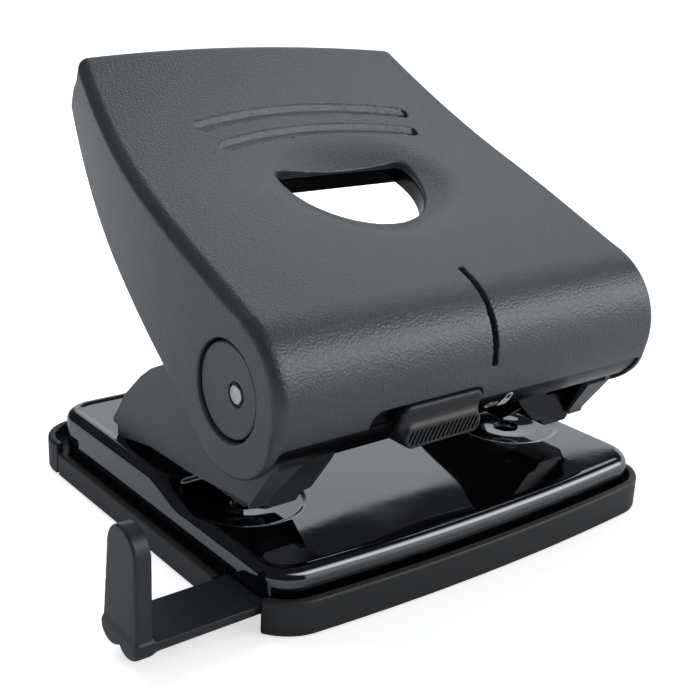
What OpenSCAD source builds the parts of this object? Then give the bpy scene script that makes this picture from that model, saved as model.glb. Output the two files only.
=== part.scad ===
// Two-hole desk paper punch with a pressed steel base, a chip tray around it,
// two punch heads, a wide moulded lever, a lock slider and a sliding paper guide.
// X runs to the right, Y from the paper side to the rear, Z up from the table.
// The origin lies on the table, midway between the two punch pins.

/* [Base] */
// Outer width of the chip tray
base_w = 115; // [110:1:120]
// Distance from the line of the punch pins forward to the middle of the front edge
base_front = 37.5; // [36:0.5:40]
// Distance from the line of the punch pins back to the rear edge
base_rear = 71; // [68:0.5:74]
// Radius of the tray corners seen from above
corner_r = 11; // [9:0.5:12]
// How far the front edge curves back towards the corners
front_bow = 3; // [1:0.25:4]
// Height of the tray wall at the front
skirt_h = 7.8; // [7:0.1:8.5]
// Height of the tray wall along the sides
side_h = 6.2; // [6:0.1:6.8]
// Wall thickness of the tray
skirt_t = 1.8; // [1.5:0.1:2]
// Height of the paper table above the desk
deck_h = 13; // [12:0.25:13.5]
// Rise of the rear of the steel base behind the paper stop
deck_step = 2.8; // [2:0.1:3]
// Radius of the rolled edge of the steel base
deck_roll = 2.9; // [2:0.1:3.2]
// Thickness of the steel sheet of the base
sheet_t = 1.2; // [1:0.1:1.4]

/* [Punch heads] */
// Distance between the centres of the two punched holes
hole_pitch = 80; // [79:0.5:81]
// Diameter of a punch pin
pin_d = 5.5; // [5:0.1:6]
// Distance from the hole centres to the paper stop
stop_y = 12; // [11:0.25:12.5]
// Clear height of the paper slot above the paper table
throat = 5; // [4.6:0.1:5]
// Width of the shallow round dish around each die
dish_d = 25.6; // [24:0.4:26]
// Mean diameter of a return spring
spring_d = 11; // [10.8:0.1:11.2]
// Wire diameter of a return spring
wire_d = 1.1; // [0.9:0.1:1.1]
// Turns of a return spring
spring_turns = 7; // [5:1:7]

/* [Lever] */
// Radius of the rolled front of the handle
roll_r = 17.8; // [17.6:0.1:18]
// Wall thickness of the handle
cover_t = 2; // [1.8:0.1:2]
// Distance of the hinge rod in front of the punch pins
rod_back = 16.5; // [16.3:0.1:16.7]
// Height of the hinge rod above the table
rod_z = 45.4; // [45.2:0.1:45.6]
// Diameter of the hinge rod
rod_d = 4; // [3.6:0.1:4.2]
// Slope of the top of the handle
top_slope = 0.4; // [0.38:0.01:0.42]
// Where the handle ends at the rear
handle_end = 63.5; // [60:0.5:66]
// Narrowing of the handle towards the rear
handle_taper = 0.00195; // [0.0015:0.00005:0.002]
// Radius of the round side cap at each end of the hinge
cap_r = 9.9; // [9:0.1:10]
// Radius of the finger window in the top of the handle
window_r = 19.8; // [17:0.2:20]

/* [Paper guide] */
// Distance from the middle of the punch to the upright of the paper guide
guide_out = 82.3; // [80:0.5:90]
// Length of the bar of the paper guide
guide_len = 100; // [90:1:104]
// Height of the top of the upright
guide_top = 28.4; // [24:0.2:32]
// Thickness of the upright
guide_t = 3.6; // [3:0.1:4]

/* [Hidden] */
$fn = 48;

// Clearance between parts that move past each other
gap = 0.3;
// Radial clearance of a shaft or pin that turns or slides in its hole
run = 0.05;

// Tray and steel base
floor_t = 1.4;
wall_in = 3;
rear_in = 7.3;
ledge_z = 4.6;
seat_z = ledge_z + 0.2;
split_y = base_rear - 13.5;
rail_h = skirt_h + 0.4;
hinge_y = split_y + 3.1;
hinge_z = 2.9;
ear_r = 2.4;
ear_pin_r = 1.5;
ear_x0 = 38;
ear_x1 = 46;

// Punch heads
px = hole_pitch / 2;
head_z = deck_h + throat;
plate_t = 1.6;
rear_z = deck_h + deck_step;
frame_in = px - 8.4;
frame_out = px + 8.2;
cheek_in = frame_out;
cheek_out = cheek_in + plate_t;
dish_depth = 0.6;
die_r = 7;
die_h = 2.2;
hole_r = pin_d / 2 + 0.25;
bush_r = 4.5;
bush_top = head_z + 10;
spring_z0 = head_z + plate_t;
pin_top = rod_z - 5.4;
washer_t = 1.6;
washer_z0 = pin_top - 0.1 - washer_t;
pin_tip = head_z + 0.3;
front_y = -15;

// Hinge and lever
rod_y = -rod_back;
rod_r = rod_d / 2;
roll_y = rod_y + 2.8;
roll_z = rod_z - 0.1;
tan_a = 90 + atan(top_slope);
tan_y = roll_y + roll_r * cos(tan_a);
tan_z = roll_z + roll_r * sin(tan_a);
curl_y = 20;
curl_k = 0.0034;
lip_a = 205.4;
strip_a = 228;
frame_t = 1.2;
frame_d = cover_t + 0.1;
arm_in = cheek_out + gap;
arm_out = arm_in + plate_t;
lever_w = 2 * (arm_out + 0.6 + cover_t);
cap_hole_r = cap_r + 0.54;
nose_y = 1.2;
yoke_y = -15;
nose_r = 3;
nose_z = pin_top + gap + nose_r;

// Finger window, in the plane of the top of the handle
win_x = 0.6;
win_y = 20.6;
win_flat = 3;
dish_in = 2.6;
dish_run = 7.5;
rim_w = 3.5;
rim_z = dish_in + 0.8;
tilt = atan(top_slope);

// Lock slider
lock_x0 = -23.5;
lock_x1 = -1.5;
lock_travel = 7;

// Paper guide
bar_y0 = -28.6;
bar_y1 = -15.4;
bar_top = 6;
bar_low = 2.5;

// Extrudes a drawing made in the Y-Z plane from x0 to x1
module along_x(x0, x1) {
    translate([x0, 0, 0]) rotate([90, 0, 90]) linear_extrude(x1 - x0) children();
}

// Extrudes a drawing made in the X-Z plane from y0 to y1
module along_y(y0, y1) {
    translate([0, y1, 0]) rotate([90, 0, 0]) linear_extrude(y1 - y0) children();
}

// Round bar along X
module bar_x(x0, x1, y, z, r) {
    translate([x0, y, z]) rotate([0, 90, 0]) cylinder(r = r, h = x1 - x0);
}

// Side of the punch: -1 is left, 1 is right
module side(s) {
    if (s < 0) mirror([1, 0, 0]) children();
    else children();
}

function bow(x) = front_bow * pow(x / (base_w / 2), 2);
function arc(cx, cy, r, a0, a1, n) =
    [for (i = [0:n]) [cx + r * cos(a0 + (a1 - a0) * i / n), cy + r * sin(a0 + (a1 - a0) * i / n)]];

// Outline of the base seen from above, moved in by d, with its rear edge at yr
function base_pts(d, yr) =
    let (w = base_w / 2 - d)
    let (r = max(corner_r - d, 1))
    let (yf = -base_front + d)
    let (yc = yf + bow(w - r) + r)
    concat(
        [for (i = [1:15]) let (x = -(w - r) + 2 * (w - r) * i / 16) [x, yf + bow(x)]],
        arc(w - r, yc, r, -90, 0, 9),
        arc(w - r, yr - r, r, 0, 90, 9),
        arc(-(w - r), yr - r, r, 90, 180, 9),
        arc(-(w - r), yc, r, 180, 270, 9));

module base_area(d, dr) {
    polygon(base_pts(d, base_rear - dr));
}

// Profile of a rolled upper edge that lies r away from the origin
function rolled(r, top, k) = arc(r - k, top - k, k, 0, 90, 6);

// Front or rear half of the steel base, moved in by d, with its top at the given height
module base_half(d, top, k, y0, y1, front) {
    w = base_w / 2 - wall_in - d;
    r = corner_r - wall_in - d;
    xc = w - r - 0.02;
    bend = pow(base_w / 2, 2) / (2 * front_bow);
    rf = bend - wall_in - d;
    cy = bend - base_front;
    yr = base_rear - rear_in - d;
    yc = front ? cy - sqrt(pow(rf - r - 0.02, 2) - xc * xc) : yr - r - 0.02;
    z0 = seat_z - (d > 0 ? 1 : 0);
    if (front) intersection() {
        translate([0, cy, 0]) rotate_extrude($fn = 360)
            polygon(concat([[0, z0], [rf, z0]], rolled(rf, top, k), [[0, top]]));
        translate([-xc, y0, 0]) cube([2 * xc, y1 - y0, 40]);
    }
    else along_x(-xc, xc) polygon(concat([[y0, z0], [yr, z0]], rolled(yr, top, k), [[y0, top]]));
    along_y(front ? yc : y0, front ? y1 : yc) polygon(concat([[-w, z0], [w, z0]],
        rolled(w, top, k), arc(k - w, top - k, k, 90, 180, 6)));
    for (s = [-1, 1]) translate([s * xc, yc, 0]) rotate_extrude()
        polygon(concat([[0, z0], [r, z0]], rolled(r, top, k), [[0, top]]));
}

module base_plate() {
    color([0.05, 0.05, 0.06])
    difference() {
        union() {
            difference() {
                union() {
                    base_half(0, deck_h, deck_roll, -60, stop_y + 0.6, true);
                    base_half(0, rear_z, deck_roll, stop_y, 90, false);
                }
                // hollow under the paper table and under the rear
                base_half(sheet_t, deck_h - sheet_t, deck_roll - sheet_t, -60, stop_y + 3, true);
                base_half(sheet_t, rear_z - sheet_t, deck_roll - sheet_t, stop_y + sheet_t, 90,
                    false);
                // bevel along the top of the paper stop
                along_x(-60, 60) polygon([[stop_y - 1, rear_z - 1.8], [stop_y + 1.8, rear_z + 1],
                    [stop_y - 1, rear_z + 1]]);
            }
            // the sheet keeps its thickness under the dishes
            for (s = [-1, 1]) translate([s * px, 0, deck_h - sheet_t - dish_depth])
                cylinder(d = dish_d + 2, h = dish_depth + 0.2);
        }
        for (s = [-1, 1]) translate([s * px, 0, 0]) {
            intersection() {
                translate([0, 0, deck_h - dish_depth]) cylinder(d = dish_d, h = 5);
                translate([-40, -40, 0]) cube([80, 40 + stop_y, 40]);
            }
            cylinder(r = hole_r, h = 30);
            for (y = [20, 32]) translate([0, y, 0]) cylinder(r = 1.6, h = 30);
        }
        // opening in the left wall for the bar of the paper guide
        translate([-base_w / 2, bar_y0 - 1, 0]) cube([10, bar_y1 - bar_y0 + 2, bar_top + 0.9]);
    }
}

module die() {
    color([0.75, 0.75, 0.78])
    translate([px, 0, deck_h - dish_depth - sheet_t - die_h]) difference() {
        cylinder(r = die_r, h = die_h);
        translate([0, 0, -1]) cylinder(r = pin_d / 2 + run, h = die_h + 2);
    }
}

module die_left() {
    side(-1) die();
}

module die_right() {
    side(1) die();
}

module chip_tray() {
    color([0.2, 0.21, 0.23])
    difference() {
        union() {
            intersection() {
                union() {
                    linear_extrude(floor_t) base_area(0, 0);
                    linear_extrude(ledge_z) difference() {
                        base_area(0, 0);
                        base_area(skirt_t + 3.8, 0);
                    }
                    linear_extrude(skirt_h) difference() {
                        base_area(0, 0);
                        base_area(skirt_t, -20);
                    }
                }
                // lower wall along the sides, straight end at the rear
                along_x(-80, 80) polygon([[-60, -1], [-60, skirt_h], [-29.4, skirt_h],
                    [-19, side_h], [split_y - 0.4, side_h], [split_y - 0.4, -1]]);
            }
            // rear wall of the tray
            translate([-base_w / 2 + 3, split_y - 2.2, 0])
                cube([base_w - 6, 1.8, ledge_z]);
            // ears of the tray hinge
            for (s = [-1, 1]) side(s) {
                bar_x(ear_x0, ear_x1, hinge_y, hinge_z, ear_r);
                translate([ear_x0, split_y - 1, hinge_z - 1.9]) cube([ear_x1 - ear_x0, 3.4, 3.8]);
            }
            // channel that carries the bar of the paper guide
            for (x = [-44, -18, 8, 34]) translate([x, 0, 0]) {
                translate([0, bar_y0 - 2.6, 0.5]) cube([8, 2.2, bar_top + gap - 0.5 + 1.2]);
                translate([0, bar_y0 - 2.6, bar_top + gap]) cube([8, 3.8, 1.2]);
                translate([0, bar_y1 + 0.4, 0.5]) cube([8, 2.2, bar_top + gap - 0.5 + 1.2]);
                translate([0, bar_y1 - 1.2, bar_top + gap]) cube([8, 3.8, 1.2]);
                translate([0, bar_y0 - 2.6, 0.5]) cube([8, bar_y1 - bar_y0 + 5.2, bar_low - 0.7]);
            }
        }
        for (s = [-1, 1]) side(s) {
            bar_x(ear_x0 - 1, ear_x1 + 1, hinge_y, hinge_z, ear_pin_r + run);
        }
        // opening in the left wall for the bar of the paper guide
        translate([-base_w / 2 - 5, bar_y0 - 0.7, -1])
            cube([15, bar_y1 - bar_y0 + 1.4, 20]);
    }
}

module rear_rail() {
    color([0.2, 0.21, 0.23])
    difference() {
        intersection() {
            union() {
                linear_extrude(seat_z) base_area(0, 0);
                linear_extrude(rail_h) difference() {
                    base_area(0, 0);
                    base_area(skirt_t, skirt_t);
                }
            }
            translate([-80, split_y, -1]) cube([160, 100, 30]);
        }
        // bevel that clears the turning tray, pockets for its ears, holes for the hinge pins
        along_x(-80, 80) polygon([[split_y - 1, -1], [split_y + 2.3, -1], [split_y, 1.5],
            [split_y - 1, 1.5]]);
        for (s = [-1, 1]) side(s) {
            translate([ear_x0 - gap, split_y - 1, -1])
                cube([ear_x1 - ear_x0 + 2 * gap, hinge_y + ear_r + gap - split_y + 1, 10]);
            bar_x(ear_x0 - 4, ear_x1 + 4, hinge_y, hinge_z, ear_pin_r);
        }
    }
}

module tray_hinge_pins() {
    color([0.7, 0.7, 0.72])
    for (s = [-1, 1]) side(s) bar_x(ear_x0 - 4, ear_x1 + 4, hinge_y, hinge_z, ear_pin_r);
}

// Section of the guide bar: flat on top, two round runners below
module bar_section() {
    w = (bar_y1 - bar_y0) / 4;
    r = 3.9;
    intersection() {
        translate([bar_y0, bar_low - 1]) square([4 * w, bar_top - bar_low + 1]);
        union() {
            translate([bar_y0, bar_top - 1.6]) square([4 * w, 1.6]);
            translate([bar_y0 + w, bar_low + r]) circle(r = r);
            translate([bar_y1 - w, bar_low + r]) circle(r = r);
        }
    }
}

module paper_guide() {
    top_r = 5.4;
    x0 = -guide_out;
    color([0.24, 0.25, 0.27])
    union() {
        along_x(x0, x0 + guide_len) bar_section();
        // upright with a round top
        along_x(x0, x0 + guide_t) union() {
            bar_section();
            polygon(concat(
                [[bar_y0, bar_low + 2], [bar_y1, bar_low + 2]],
                arc(bar_y0 + top_r, guide_top - top_r, top_r, 0, 180, 16)));
        }
        // fillet between the bar and the upright
        along_y(bar_y0 + 0.6, bar_y1 - 0.6) polygon([[x0 + 2, bar_top - 1],
            [x0 + guide_t + 1.6, bar_top - 1], [x0 + guide_t + 1.6, bar_top],
            [x0 + guide_t, bar_top + 1.6], [x0 + 2, bar_top + 1.6]]);
    }
}

// Outer side plate of a punch head
function cheek_pts() = concat(
    [[40, rear_z + 0.1], [40, rear_z + 2.2], [42.2, rear_z + 2.6], [42, rear_z + 3.6],
     [39.3, rear_z + 7], [36.3, rear_z + 11.2], [33.4, rear_z + 13.8], [28.5, rear_z + 18.2],
     [24, rear_z + 21.4], [19.1, rear_z + 23.8], [12, rear_z + 25.8], [rod_y + 9, rod_z + 3]],
    arc(rod_y, rod_z, 9, 20, 200, 12),
    [[rod_y - 7.6, rod_z - 11], [rod_y - 6.9, rod_z - 15], [front_y - 1.2, head_z + 2.8],
     [-8.7, head_z + 2.3], [6.7, head_z + 0.7], [24.5, head_z + 0.3], [37, rear_z + 0.1]]);

module cheek() {
    color([0.3, 0.32, 0.33])
    difference() {
        union() {
            along_x(cheek_in, cheek_out) polygon(cheek_pts());
            // flange turned in along the front edge, wider at the top
            intersection() {
                along_x(frame_out - 8, cheek_out) polygon([[rod_y - 6.9, rod_z - 15],
                    [front_y - 1.2, head_z + 2.8], [front_y - 0.9, head_z + 1.6],
                    [front_y - 0.1, head_z + 2.4], [rod_y - 5.6, rod_z - 14.3]]);
                along_y(-40, 0) polygon([[frame_out - 2.8, 0], [frame_out - 2.8, head_z + 1],
                    [frame_out - 6.2, rod_z - 14], [frame_out - 6.2, 60], [60, 60], [60, 0]]);
            }
            // foot that lies on the base
            translate([frame_out - 0.4, 36.4, rear_z])
                cube([cheek_out - frame_out + 0.4, 3.4, plate_t]);
        }
        bar_x(cheek_in - 5, cheek_out + 5, rod_y, rod_z, rod_r);
    }
}

module cheek_left() {
    side(-1) cheek();
}

module cheek_right() {
    side(1) cheek();
}

// Steel frame of a punch head, standing on the rear of the base
module punch_frame() {
    color([0.09, 0.09, 0.1])
    difference() {
        union() {
            // floor above the paper slot, and the foot on the base
            translate([0, 0, head_z]) linear_extrude(plate_t) polygon([[frame_out, front_y + 3],
                [frame_out - 3.2, front_y], [px - 2.4, front_y], [px - 2.4, -6], [frame_in, -6],
                [frame_in, stop_y + 1 + plate_t], [frame_out, stop_y + 1 + plate_t]]);
            translate([frame_in, stop_y + 1, rear_z])
                cube([frame_out - frame_in, 36 - stop_y, plate_t]);
            translate([frame_in, stop_y + 1, rear_z])
                cube([frame_out - frame_in, plate_t, head_z - rear_z + plate_t]);
            // outer side
            along_x(frame_out - plate_t, frame_out) polygon(concat(
                [[37, rear_z], [37, rear_z + 6.2], [30, rear_z + 15.2], [18, rear_z + 21.7],
                 [rod_y + 8, rod_z + 2]],
                arc(rod_y, rod_z, 7.5, 20, 200, 10),
                [[rod_y - 4.1, rod_z - 13.4], [front_y, head_z + 6], [front_y, head_z + 4],
                 [front_y + 3, head_z], [stop_y + 1, head_z], [stop_y + 1, rear_z]]));
            // inner side
            along_x(frame_in, frame_in + plate_t) polygon(concat(
                [[37, rear_z], [37, rear_z + 4.2], [20, rear_z + 11.2], [6, rear_z + 15.2],
                 [rod_y + 7, rod_z - 1]],
                arc(rod_y, rod_z, 6.5, 10, 190, 10),
                [[rod_y - 5, rod_z - 9.4], [front_y, head_z + 12], [front_y, head_z + 7],
                 [-6, head_z], [stop_y + 1, head_z], [stop_y + 1, rear_z]]));
            // front gusset
            along_y(front_y, front_y + plate_t) polygon([[frame_out - 3.2, head_z],
                [px - 2.4, head_z], [px - 4, head_z + 1.7], [px - 6.3, head_z + 2],
                [px - 11.3, head_z + 7], [px - 14, head_z + 10.5], [px - 14, head_z + 12.5],
                [frame_in + 3, head_z + 12.5], [frame_in + 6, head_z + 8],
                [frame_out - 4, head_z + 8], [frame_out, head_z + 8],
                [frame_out, head_z + 4]]);
        }
        bar_x(frame_in - 5, frame_out + 5, rod_y, rod_z, rod_r);
        translate([px, 0, 0]) {
            cylinder(r = bush_r, h = 60);
            for (y = [20, 32]) translate([0, y, 0]) cylinder(r = 1.6, h = 60);
        }
    }
}

module punch_frame_left() {
    side(-1) punch_frame();
}

module punch_frame_right() {
    side(1) punch_frame();
}

module pin_bush() {
    color([0.6, 0.6, 0.62])
    translate([px, 0, head_z]) difference() {
        cylinder(r = bush_r, h = bush_top - head_z);
        translate([0, 0, -1]) cylinder(r = pin_d / 2 + run, h = bush_top - head_z + 2);
    }
}

module pin_bush_left() {
    side(-1) pin_bush();
}

module pin_bush_right() {
    side(1) pin_bush();
}

// Punch pin with a hollow ground tip
module punch_pin() {
    color([0.8, 0.8, 0.82])
    translate([px, 0, 0]) difference() {
        union() {
            translate([0, 0, pin_tip]) cylinder(d = pin_d, h = pin_top - 0.6 - pin_tip);
            translate([0, 0, pin_top - 0.6])
                cylinder(r1 = pin_d / 2, r2 = pin_d / 2 - 0.6, h = 0.6);
        }
        bar_x(-10, 10, 0, pin_tip - 3, 3.9);
    }
}

module punch_pin_left() {
    side(-1) punch_pin();
}

module punch_pin_right() {
    side(1) punch_pin();
}

module pin_washer() {
    color([0.6, 0.6, 0.62])
    translate([px, 0, washer_z0]) difference() {
        cylinder(r = spring_d / 2 + wire_d / 2 + 0.2, h = washer_t);
        translate([0, 0, -1]) cylinder(d = pin_d, h = washer_t + 2);
        translate([0, 0, washer_t - 0.6]) cylinder(d = pin_d + 3, h = 2);
    }
}

module pin_washer_left() {
    side(-1) pin_washer();
}

module pin_washer_right() {
    side(1) pin_washer();
}

// Return spring: one tube of six sides wound as a helix, eight rings to a turn
spring_h = washer_z0 - spring_z0;
spring_n = 8 * spring_turns;
function coil(i) =
    let (a = 360 * i / 8)
    [spring_d / 2 * cos(a), spring_d / 2 * sin(a),
     wire_d / 2 + (spring_h - wire_d) * i / spring_n];
function coil_ring(i) =
    let (a = 360 * i / 8)
    let (p = coil(i))
    [for (k = [0:5]) let (b = 60 * k + 30)
        [p[0] + wire_d / 2 * cos(b) * cos(a), p[1] + wire_d / 2 * cos(b) * sin(a),
         p[2] + wire_d / 2 * sin(b)]];
coil_gap = min([for (i = [0:4:spring_n - 8]) for (j = [i + 6:min(i + 10, spring_n)])
    norm(coil(i) - coil(j)) - wire_d]);
echo(spring_least_gap_mm = coil_gap);

module spring() {
    pts = [for (i = [0:spring_n]) for (q = coil_ring(i)) q];
    sides = [for (i = [0:spring_n - 1]) for (k = [0:5])
        let (a = 6 * i + k)
        let (b = 6 * i + (k + 1) % 6)
        for (t = [[a, b, b + 6], [a, b + 6, a + 6]]) t];
    cap0 = [for (k = [1:4]) [0, k + 1, k]];
    m = 6 * spring_n;
    cap1 = [for (k = [1:4]) [m, m + k, m + k + 1]];
    color([0.7, 0.7, 0.72])
    translate([px, 0, spring_z0]) polyhedron(points = pts, faces = concat(sides, cap0, cap1));
}

module spring_left() {
    side(-1) spring();
}

module spring_right() {
    side(1) spring();
}

module head_rivets() {
    color([0.6, 0.6, 0.62])
    for (s = [-1, 1]) for (y = [20, 32]) translate([s * px, y, 0]) {
        translate([0, 0, rear_z - sheet_t - 0.8]) cylinder(r = 2.8, h = 0.8);
        translate([0, 0, rear_z - sheet_t - 0.1]) cylinder(r = 1.6, h = sheet_t + plate_t + 0.2);
        translate([0, 0, rear_z + plate_t]) cylinder(r1 = 2.8, r2 = 1.8, h = 1);
    }
}

module hinge_rod() {
    color([0.85, 0.85, 0.86])
    bar_x(-(lever_w / 2 - 0.4), lever_w / 2 - 0.4, rod_y, rod_z, rod_r);
}

module rod_clips() {
    color([0.6, 0.6, 0.62])
    for (s = [-1, 1]) side(s) difference() {
        bar_x(frame_out - plate_t - 0.8, frame_out - plate_t, rod_y, rod_z, rod_r + 2);
        bar_x(frame_out - 5, frame_out, rod_y, rod_z, rod_r);
        translate([frame_out - 5, rod_y - 1.2, rod_z]) cube([5, 2.4, 6]);
    }
}

// Curves of the handle, moved in by d from the outer surface
function roll_pt(a, d) = [roll_y + (roll_r - d) * cos(a), roll_z + (roll_r - d) * sin(a)];
function top_z(y) = tan_z + top_slope * (y - tan_y) + curl_k * pow(max(y - curl_y, 0), 2);
function top_m(y) = top_slope + 2 * curl_k * max(y - curl_y, 0);
function top_pt(y, d) =
    let (m = top_m(y))
    let (n = sqrt(1 + m * m))
    [y + m * d / n, top_z(y) - d / n];
function skin(a0, y1, d) = concat(
    [for (i = [0:20]) roll_pt(a0 + (tan_a - a0) * i / 20, d)],
    [for (y = [curl_y:(y1 - curl_y) / 12:y1 + 0.001]) top_pt(y, d)]);
function reverse(v) = [for (i = [len(v) - 1:-1:0]) v[i]];
function low_z(y) = rod_z - 9.6 + 0.635 * y + 0.0055 * pow(max(y - 35, 0), 2);
function half_w(y) = lever_w / 2 - handle_taper * pow(max(y, 0), 2);

// Rear end of the handle, square to its top
rear_m = top_m(handle_end);
rear_n = sqrt(1 + rear_m * rear_m);
rear_drop = 15.6;
function rear_pt(d, h) =
    [handle_end + (rear_m * h - d) / rear_n, top_z(handle_end) - (h + rear_m * d) / rear_n];

module plan(d) {
    translate([0, 0, -20]) linear_extrude(180) polygon(concat(
        [[half_w(0) - d, -60]],
        [for (y = [0:6:90]) [half_w(y) - d, y]],
        [for (y = [90:-6:0]) [d - half_w(y), y]],
        [[d - half_w(0), -60]]));
}

// Side view of the handle
function side_pts() = concat(
    skin(lip_a, handle_end, 0),
    [rear_pt(0, rear_drop)],
    [for (y = [66:-6:6]) [y, low_z(y)]],
    [[2.5, low_z(2.5)]],
    [for (i = [0:12]) roll_pt(320 - (320 - lip_a) * i / 12, 0)]);

// Side view of the hollow of the handle, open below and below the front lip
function hollow_pts() = concat(
    skin(lip_a, handle_end - cover_t / 2, cover_t),
    [rear_pt(cover_t, cover_t), rear_pt(cover_t, rear_drop + 8)],
    [[100, 10], [-60, 10], roll_pt(lip_a, -8)]);

// Outline of the finger window: a circle with a straight rear edge
module window(k) {
    intersection() {
        circle(r = window_r + k, $fn = 72);
        translate([-60, -60]) square([120, 60 + win_flat + k]);
    }
}

// Places children on the sloping top of the handle, at the middle of the window
module on_top() {
    translate([win_x, win_y, top_z(win_y - 6) + 6 * top_slope]) rotate([tilt, 0, 0]) children();
}

// Wedge that cuts the rolled front from angle a0 to a1, between x0 and x1
module roll_cut(x0, x1, a0, a1, d0, d1) {
    along_x(x0, x1) polygon(concat(
        [for (i = [0:8]) roll_pt(a0 + (a1 - a0) * i / 8, d0)],
        [for (i = [8:-1:0]) roll_pt(a0 + (a1 - a0) * i / 8, d1)]));
}

// Curved grip groove across the top, with its middle at y
module groove(y, half, r) {
    w = 3.2;
    a = asin(half / r);
    intersection() {
        translate([win_x + 2, y - r, 0]) linear_extrude(140) polygon(concat(
            arc(0, 0, r + w / 2, 90 - a, 90 + a, 20),
            arc(0, 0, r - w / 2, 90 + a, 90 - a, 20)));
        along_x(-60, 60) polygon(concat(
            [for (v = [curl_y:3:56]) top_pt(v, 0.9)],
            [[60, 130], [curl_y, 130]]));
    }
}

module handle_cover() {
    color([0.38, 0.41, 0.43])
    difference() {
        union() {
            difference() {
                intersection() {
                    along_x(-60, 60) polygon(side_pts());
                    plan(0);
                }
                intersection() {
                    along_x(-60, 60) polygon(hollow_pts());
                    plan(cover_t);
                }
            }
            // thicker rim around the finger window
            intersection() {
                on_top() translate([1.5, 1, -rim_z]) linear_extrude(8) window(rim_w);
                along_x(-60, 60) polygon(side_pts());
            }
        }
        // finger window with its sloping dish
        on_top() translate([0, 0, -10]) linear_extrude(30) window(0);
        on_top() intersection() {
            translate([2.7, 0, -dish_in]) cylinder(r1 = window_r - 1.8,
                r2 = window_r - 1.8 + 1.5 * dish_run, h = dish_in * 1.5, $fn = 72);
            along_x(-60, 60) polygon([[-40, 3], [-40, -dish_in], [win_flat, -dish_in],
                [win_flat + 1.5 * dish_run, dish_in / 2], [win_flat + 1.5 * dish_run, 3]]);
        }
        // grip grooves
        groove(35.9, 27.6, 122);
        groove(42.9, 30, 137);
        // narrow slot down the rolled front, leaning a little to the side
        translate([win_x + 1.4, 0, 54]) rotate([0, 6.5, 0]) translate([0, 0, -54])
            along_x(-0.75, 0.75) polygon(concat(
                [for (i = [0:10]) roll_pt(179 - (179 - tan_a) * i / 10, -2)],
                [[-16.4, tan_z + 5], [-16.4, tan_z - 2]],
                [for (i = [10:-1:0]) roll_pt(179 - (179 - tan_a) * i / 10, cover_t + 1)]));
        // notch in the front lip for the lock slider
        roll_cut(lock_x0 - lock_travel - 0.6, lock_x1 + 0.6, lip_a + 4, 192.4, -2, cover_t + 1);
        // round holes for the hinge caps
        bar_x(-70, 70, roll_y, roll_z, cap_hole_r);
    }
}

// Strip below the front lip of the handle, stepped back to the plate
function strip_pts() = concat(
    [for (i = [0:8]) roll_pt(lip_a + 0.6 + (strip_a - lip_a - 0.6) * i / 8, 0.6)],
    [for (i = [8:-1:0]) roll_pt(lip_a + 4 + (strip_a - lip_a - 4) * i / 8, 2)],
    [roll_pt(lip_a + 4, 3), roll_pt(lip_a + 0.6, 3)]);

module lever_frame() {
    color([0.07, 0.07, 0.08])
    difference() {
        union() {
            // bent plate under the handle
            intersection() {
                along_x(-60, 60) polygon(concat(
                    skin(lip_a + 2, 54, frame_d),
                    reverse(skin(lip_a + 2, 54, frame_d + frame_t))));
                plan(cover_t + 0.15);
            }
            along_x(-arm_out, arm_out) polygon(strip_pts());
            // arms on the hinge rod
            for (s = [-1, 1]) side(s) along_x(arm_in, arm_out) polygon(concat(
                [for (i = [0:20]) roll_pt(lip_a + 3 + (tan_a - lip_a - 3) * i / 20, frame_d + 0.4)],
                [top_pt(14, frame_d + 0.4), [14, rod_z + 8.6], [2, rod_z - 2.4], [-4, rod_z - 9.4],
                 [-13, rod_z - 14.4], [-21, rod_z - 13]]));
            // pressed collar around the finger window
            on_top() translate([1.5, 1, -rim_z - 1.8]) linear_extrude(2.6) window(rim_w + 1.7);
            on_top() translate([0, 0, -rim_z - 4]) linear_extrude(2.6) window(1.3);
        }
        on_top() translate([1.5, 1, -rim_z - 0.3]) linear_extrude(12) window(rim_w + 0.4);
        on_top() translate([0, 0, -20]) linear_extrude(40) window(0.1);
        bar_x(-70, 70, rod_y, rod_z, rod_r + run);
        // slot for the neck of the lock slider
        roll_cut(lock_x0 + 1.2, lock_x0 + 16.8, lip_a + 1.4, lip_a + 10, -1, frame_d + frame_t + 1);
        yoke_holes();
    }
}

// Places children on the top of the handle at x, y, square to it
module on_slope(x, y) {
    translate([x, y, top_z(y)]) rotate([tilt, 0, 0]) children();
}

module yoke_holes() {
    for (x = [-42, -14, 14, 42]) on_slope(x, yoke_y + 4) translate([0, 0, -20]) cylinder(r = 1.6, h = 30);
}

// Bar under the plate with two fingers that press on the punch pins
module press_yoke() {
    d0 = frame_d + frame_t;
    color([0.09, 0.09, 0.1])
    difference() {
        union() {
            along_x(-(px + 6.6), px + 6.6) polygon([top_pt(yoke_y, d0), top_pt(-4, d0),
                [-4, rod_z + 8], [-5.6, rod_z + 8], [-5.6, top_pt(-5, d0 + 1.6)[1]],
                top_pt(yoke_y, d0 + 1.6)]);
            for (s = [-1, 1]) side(s) {
                along_x(px - 4.5, px + 4.5) polygon([top_pt(-5, d0), top_pt(nose_y + 2.5, d0),
                    [nose_y + 2.5, nose_z], [nose_y - 2.5, nose_z], [nose_y - 2.5, rod_z + 12],
                    [-5, rod_z + 12]]);
                bar_x(px - 4.5, px + 4.5, nose_y, nose_z, nose_r);
            }
        }
        yoke_holes();
    }
}

module yoke_rivets() {
    d0 = frame_d + frame_t;
    color([0.6, 0.6, 0.62])
    for (x = [-42, -14, 14, 42]) on_slope(x, yoke_y + 4) {
        translate([0, 0, -d0 - 1.6]) cylinder(r = 1.6, h = 1.6 + frame_t);
        translate([0, 0, -d0 - 2.4]) cylinder(r1 = 1.8, r2 = 2.8, h = 0.8);
    }
}

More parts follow.
